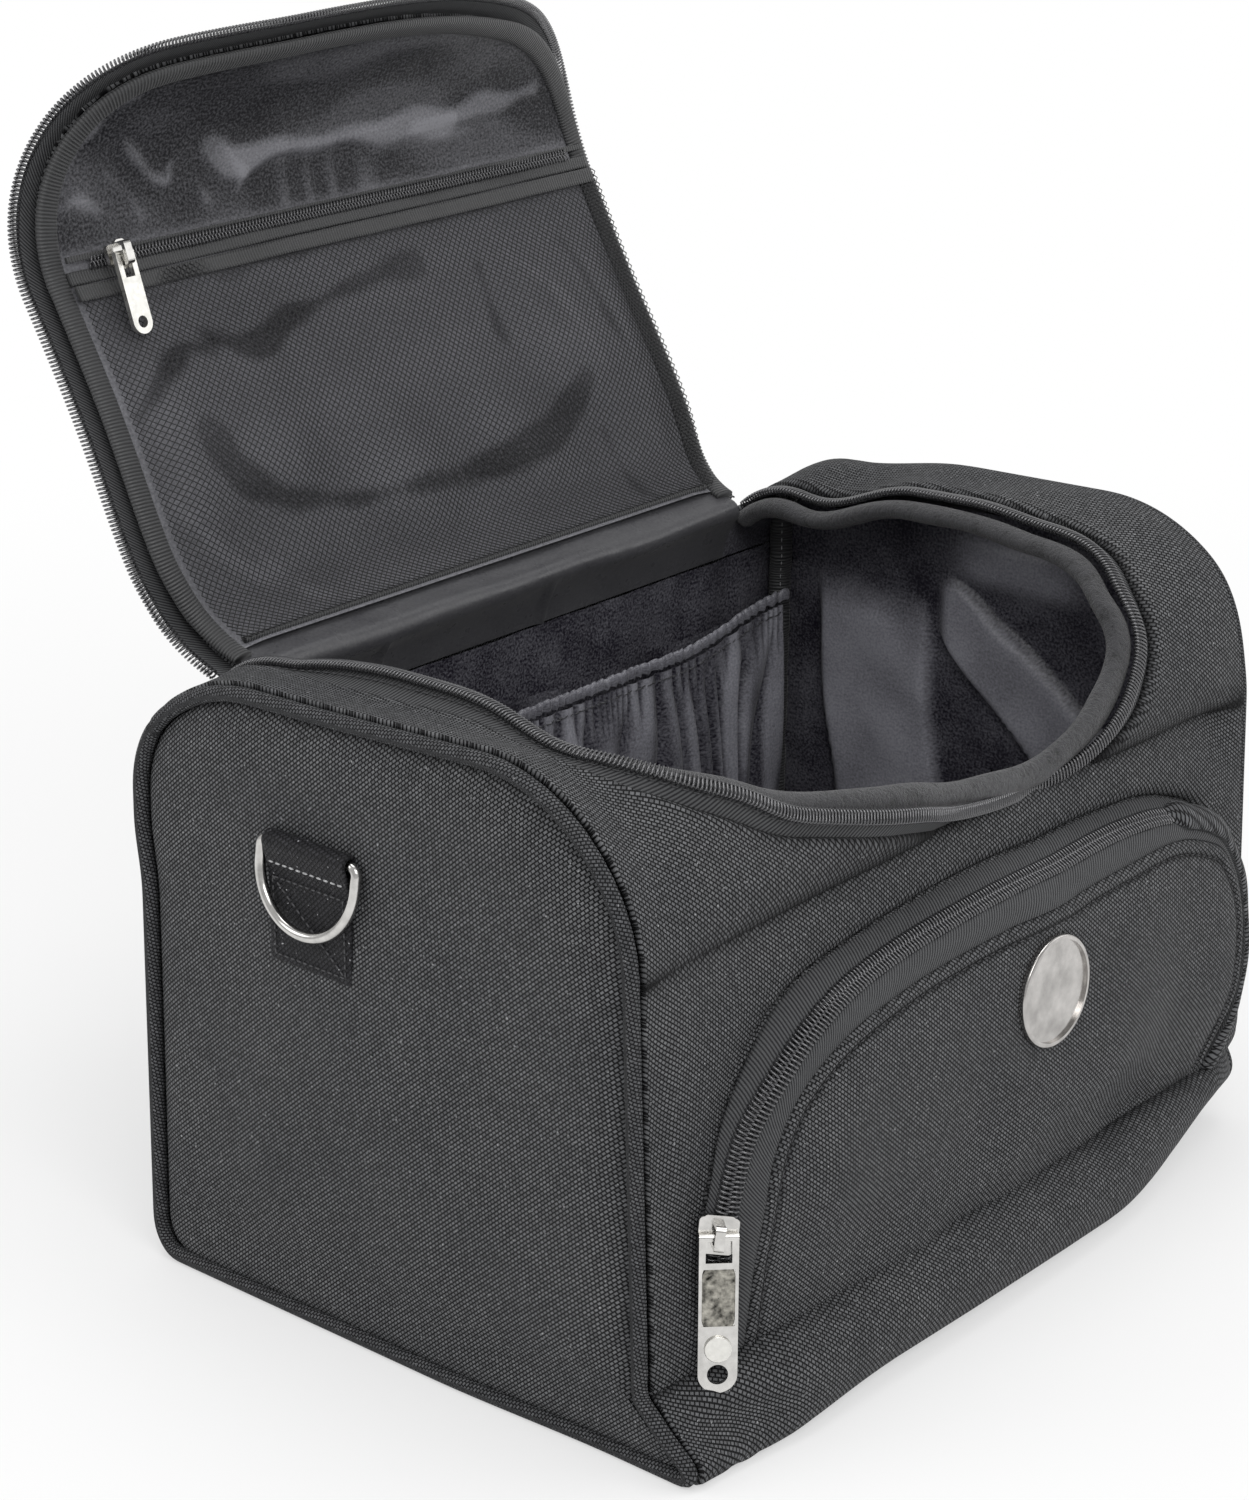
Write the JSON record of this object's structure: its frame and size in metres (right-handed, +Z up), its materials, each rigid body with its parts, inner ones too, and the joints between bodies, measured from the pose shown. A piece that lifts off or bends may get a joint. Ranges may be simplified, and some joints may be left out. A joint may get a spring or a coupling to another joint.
{
  "type": "soft vanity case",
  "caption": "Soft zipped vanity case with a hinged padded lid, a net pocket in the lid, a zipped front pocket and swinging side rings.",
  "frame": {"origin": "centre of the base on the surface that the case stands on", "axes": "+X along the length, +Y to the back where the lid is hinged, +Z up; the front with its pocket faces -Y"},
  "size_m": [0.3546, 0.3101, 0.3843],
  "materials": {
    "outer_fabric": "charcoal-black woven polyester with a padded foam back",
    "piping_fabric": "same cloth, wrapped round a cord",
    "zip_tape": "black twill tape",
    "zip_coil": "glossy black moulded coil",
    "lining_satin": "purple-black satin",
    "board": "thin stiffening sheet, sewn in and unseen",
    "binding": "black bound edge",
    "elastic": "gathered elastic hem",
    "net": "black knotted net, mostly holes",
    "webbing": "black woven strap",
    "handle_fabric": "padded cloth",
    "nickel": "bright plated metal",
    "badge_metal": "bright plated metal, bare face"
  },
  "bodies": {
    "case": {"base_panel": "outer_fabric", "front_panel": "outer_fabric", "back_panel": "outer_fabric", "opening_surround": "outer_fabric", "body_zip_tape": "zip_tape", "body_zip_coil": "zip_coil", "opening_binding": "binding", "base_board": "board", "base_lining": "lining_satin", "front_board": "board", "front_lining": "lining_satin", "back_board": "board", "back_lining": "lining_satin", "top_lining": "lining_satin", "hinge_strip": "lining_satin", "elastic_pocket": "lining_satin", "elastic_band": "elastic", "front_pocket_zip_tape": "zip_tape", "front_pocket_panel": "outer_fabric", "front_pocket_coil": "zip_coil", "badge": "badge_metal", "left_end_panel": "outer_fabric", "left_piping": "piping_fabric", "left_end_board": "board", "left_end_lining": "lining_satin", "left_webbing_tab": "webbing", "right_end_panel": "outer_fabric", "right_piping": "piping_fabric", "right_end_board": "board", "right_end_lining": "lining_satin", "right_webbing_tab": "webbing"},
    "lid": {"lid_panel": "outer_fabric", "lid_zip_tape": "zip_tape", "lid_zip_coil": "zip_coil", "lid_binding": "binding", "lid_board": "board", "lid_lining": "lining_satin", "lid_net_pocket": "net", "lid_pocket_zip_tape": "zip_tape", "lid_pocket_zip_coil": "zip_coil", "carry_handle_strap": "webbing", "carry_handle_grip": "handle_fabric", "carry_handle_rivets": "nickel", "left_handle_patch": "handle_fabric", "right_handle_patch": "handle_fabric"},
    "left_zip_slider": {"left_zip_slider": "nickel"},
    "right_zip_slider": {"right_zip_slider": "nickel"},
    "left_zip_pull": {"left_zip_pull": "nickel", "left_zip_stud": "nickel"},
    "right_zip_pull": {"right_zip_pull": "nickel", "right_zip_stud": "nickel"},
    "lid_pocket_slider": {"lid_pocket_slider": "nickel"},
    "lid_pocket_pull": {"lid_pocket_pull": "nickel"},
    "front_pocket_slider": {"front_pocket_slider": "nickel"},
    "front_pocket_pull": {"front_pocket_pull": "nickel", "front_pocket_stud": "nickel"},
    "left_side_ring": {"left_side_ring": "nickel"},
    "right_side_ring": {"right_side_ring": "nickel"}
  },
  "joints": [
    {"name": "lid_hinge", "type": "hinge", "parent": "case", "child": "lid", "pos_m": [0, 0.09994, 0.1944], "axis": [1, 0, 0], "range_deg": [-15, 116]},
    {"name": "left_slider_run", "type": "hinge", "parent": "case", "child": "left_zip_slider", "pos_m": [-0.132, 0.07, 0.171], "axis": [1, 0, 0], "range_deg": [0, 15]},
    {"name": "right_slider_run", "type": "hinge", "parent": "case", "child": "right_zip_slider", "pos_m": [0.132, 0.07, 0.171], "axis": [1, 0, 0], "range_deg": [0, 15]},
    {"name": "left_pull_swing", "type": "hinge", "parent": "left_zip_slider", "child": "left_zip_pull", "pos_m": [-0.132, 0.11288, 0.17703], "axis": [1, 0, 0], "range_deg": [-2.5, 150]},
    {"name": "right_pull_swing", "type": "hinge", "parent": "right_zip_slider", "child": "right_zip_pull", "pos_m": [0.132, 0.11288, 0.17703], "axis": [1, 0, 0], "range_deg": [-2.5, 150]},
    {"name": "lid_slider_run", "type": "slide", "parent": "lid", "child": "lid_pocket_slider", "axis": [1, 0, 0], "range_m": [0, 0.218]},
    {"name": "lid_pull_swing", "type": "hinge", "parent": "lid_pocket_slider", "child": "lid_pocket_pull", "pos_m": [-0.109, 0.16931, 0.32012], "axis": [-1, 0, 0], "range_deg": [0, 150]},
    {"name": "front_slider_run", "type": "hinge", "parent": "case", "child": "front_pocket_slider", "pos_m": [-0.065, -0.10256, 0.05693], "axis": [0, 0.999, -0.0454], "range_deg": [0, 68]},
    {"name": "front_pull_swing", "type": "hinge", "parent": "front_pocket_slider", "child": "front_pocket_pull", "pos_m": [-0.14203, -0.11355, 0.07382], "axis": [-0.7112, 0.703, 0], "range_deg": [0, 135]},
    {"name": "left_ring_swing", "type": "hinge", "parent": "case", "child": "left_side_ring", "pos_m": [-0.17185, 0.0255, 0.168], "axis": [0, 1, 0], "range_deg": [0, 160]},
    {"name": "right_ring_swing", "type": "hinge", "parent": "case", "child": "right_side_ring", "pos_m": [0.17185, 0.0255, 0.168], "axis": [0, -1, 0], "range_deg": [0, 160]}
  ]
}
